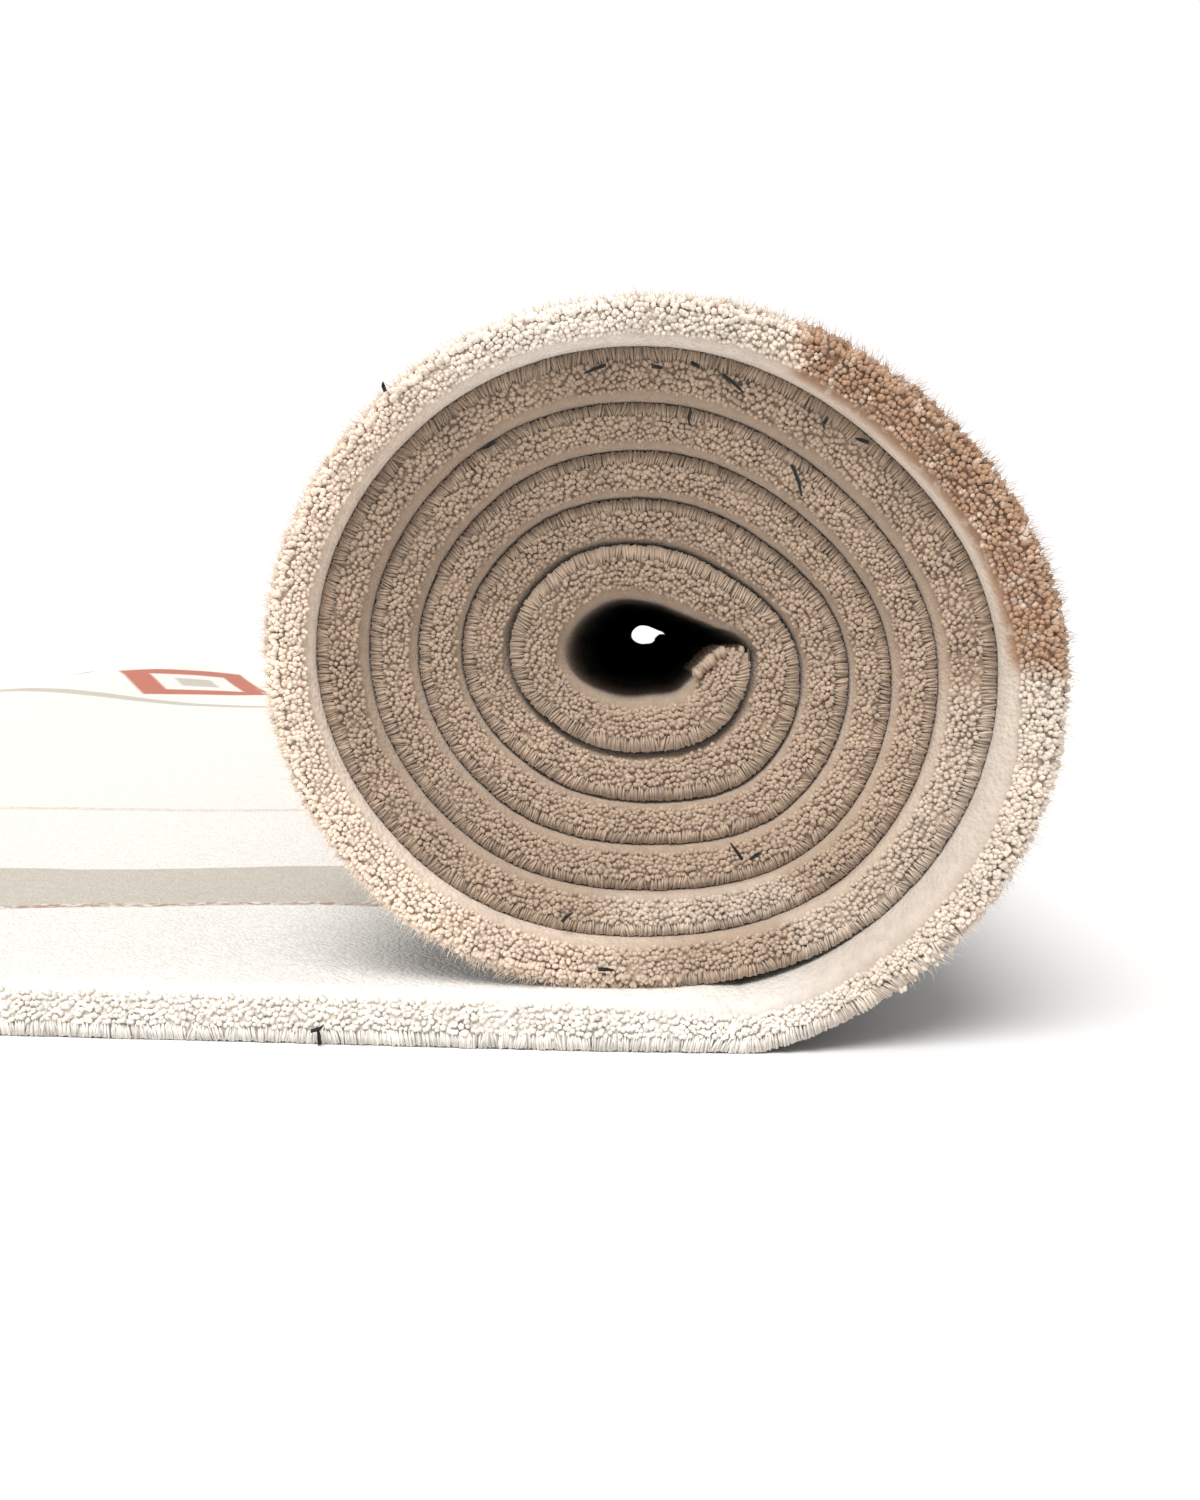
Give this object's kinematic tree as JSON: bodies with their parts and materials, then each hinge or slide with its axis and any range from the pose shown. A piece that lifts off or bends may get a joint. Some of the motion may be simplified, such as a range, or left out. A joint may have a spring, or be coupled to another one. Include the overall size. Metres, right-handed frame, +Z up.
{
  "type": "rolled up carpet",
  "caption": "Tufted wool rug rolled pile side in around an open eye, with a flat lead of cloth running out of the roll along the floor.",
  "frame": {"origin": "centre of the overall box, on the floor under it", "axes": "+Y along the roll, +Z up, -X towards the free end of the flat lead"},
  "size_m": [1.0476, 2.0396, 0.1785],
  "materials": {
    "wool_pile": "cut wool pile, cream and beige, matt with a soft sheen",
    "backing_cloth": "dark woven backing cloth, glued, matt"
  },
  "bodies": {
    "root": {"rug_pile": "wool_pile", "rug_backing": "backing_cloth"}
  },
  "joints": []
}
